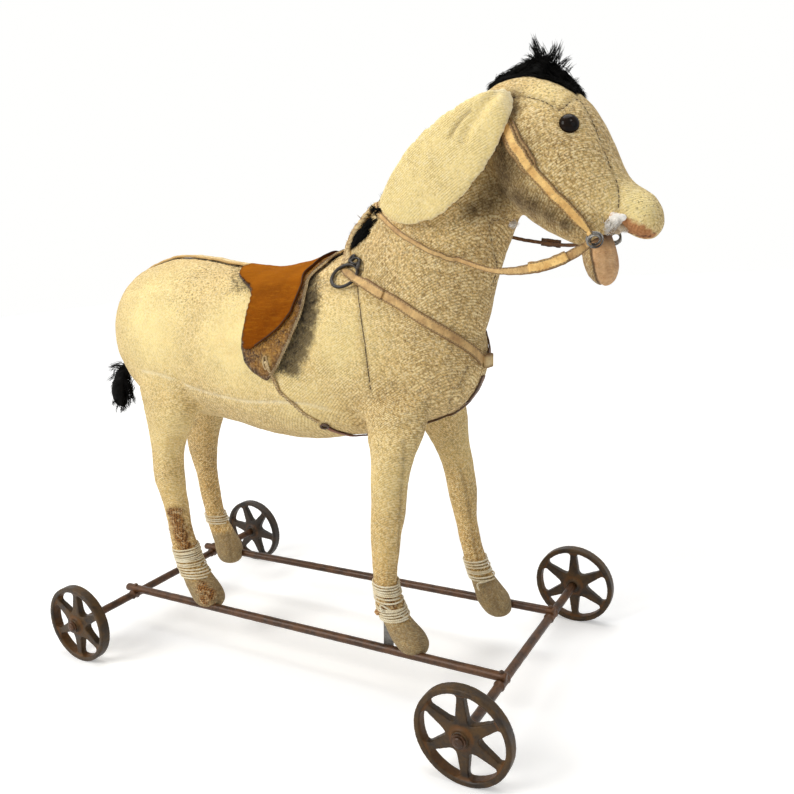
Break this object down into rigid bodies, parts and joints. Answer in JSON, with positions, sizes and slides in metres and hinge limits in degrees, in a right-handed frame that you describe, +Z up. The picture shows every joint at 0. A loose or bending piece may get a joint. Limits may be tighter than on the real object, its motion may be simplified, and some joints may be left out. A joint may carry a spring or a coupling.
{
  "type": "donkey pull toy",
  "caption": "Stuffed cloth donkey with saddle and bridle, standing on an iron frame of two rails and two axles with spoked cast wheels.",
  "frame": {"origin": "on the floor, under the middle of the toy's outer box", "axes": "+Z up, +X towards the donkey's nose, +Y towards its left side"},
  "size_m": [0.6073, 0.2954, 0.5322],
  "materials": {
    "tweed_cloth": "cream tweed with brown and grey flecks, worn",
    "jaw_felt": "salmon felt",
    "saddle_felt": "orange brown felt",
    "skirt_leather": "dark glossy embossed leather",
    "tan_leather": "tan leather straps",
    "pale_leather": "raw pale leather",
    "black_hair": "black mohair",
    "cotton_string": "twisted cotton string",
    "eye_button": "glossy black brown boot button",
    "rusty_steel": "brown rusty rod",
    "cast_iron": "olive brown patina with rust",
    "black_wire": "dark steel wire"
  },
  "bodies": {
    "toy": {"torso": "tweed_cloth", "neck": "tweed_cloth", "head": "tweed_cloth", "lower_jaw": "jaw_felt", "right_ear": "tweed_cloth", "left_ear": "tweed_cloth", "front_right_leg": "tweed_cloth", "front_left_leg": "tweed_cloth", "rear_right_leg": "tweed_cloth", "rear_left_leg": "tweed_cloth", "right_eye": "eye_button", "left_eye": "eye_button", "forelock": "black_hair", "neck_mane": "black_hair", "tail": "black_hair", "spine_iron": "rusty_steel", "front_right_iron": "rusty_steel", "front_left_iron": "rusty_steel", "rear_right_iron": "rusty_steel", "rear_left_iron": "rusty_steel", "front_right_binding": "cotton_string", "front_left_binding": "cotton_string", "rear_right_binding": "cotton_string", "rear_left_binding": "cotton_string", "saddle_seat": "saddle_felt", "saddle_skirt": "skirt_leather", "girth": "tan_leather", "crupper_strap": "pale_leather", "right_breast_strap": "tan_leather", "left_breast_strap": "tan_leather", "breast_keeper": "tan_leather", "martingale_strap": "tan_leather", "withers_tie": "pale_leather", "right_harness_ring": "black_wire", "left_harness_ring": "black_wire", "right_cheek_strap": "tan_leather", "left_cheek_strap": "tan_leather", "right_bit_ring": "black_wire", "left_bit_ring": "black_wire", "right_rein": "tan_leather", "left_rein": "tan_leather", "right_rail": "rusty_steel", "left_rail": "rusty_steel", "front_axle": "rusty_steel", "rear_axle": "rusty_steel", "front_right_rail_rivet": "rusty_steel", "front_left_rail_rivet": "rusty_steel", "rear_right_rail_rivet": "rusty_steel", "rear_left_rail_rivet": "rusty_steel", "front_right_washer": "rusty_steel", "front_left_washer": "rusty_steel", "rear_right_washer": "rusty_steel", "rear_left_washer": "rusty_steel"},
    "front_right_roller": {"front_right_wheel": "cast_iron"},
    "front_left_roller": {"front_left_wheel": "cast_iron"},
    "rear_right_roller": {"rear_right_wheel": "cast_iron"},
    "rear_left_roller": {"rear_left_wheel": "cast_iron"}
  },
  "joints": [
    {"name": "front_right_wheel_turn", "type": "hinge", "parent": "toy", "child": "front_right_roller", "pos_m": [0.1877, -0.136, 0.04], "axis": [0, 1, 0], "continuous": true},
    {"name": "front_left_wheel_turn", "type": "hinge", "parent": "toy", "child": "front_left_roller", "pos_m": [0.1877, 0.136, 0.04], "axis": [0, 1, 0], "continuous": true},
    {"name": "rear_right_wheel_turn", "type": "hinge", "parent": "toy", "child": "rear_right_roller", "pos_m": [-0.2468, -0.136, 0.04], "axis": [0, 1, 0], "continuous": true},
    {"name": "rear_left_wheel_turn", "type": "hinge", "parent": "toy", "child": "rear_left_roller", "pos_m": [-0.2468, 0.136, 0.04], "axis": [0, 1, 0], "continuous": true}
  ]
}
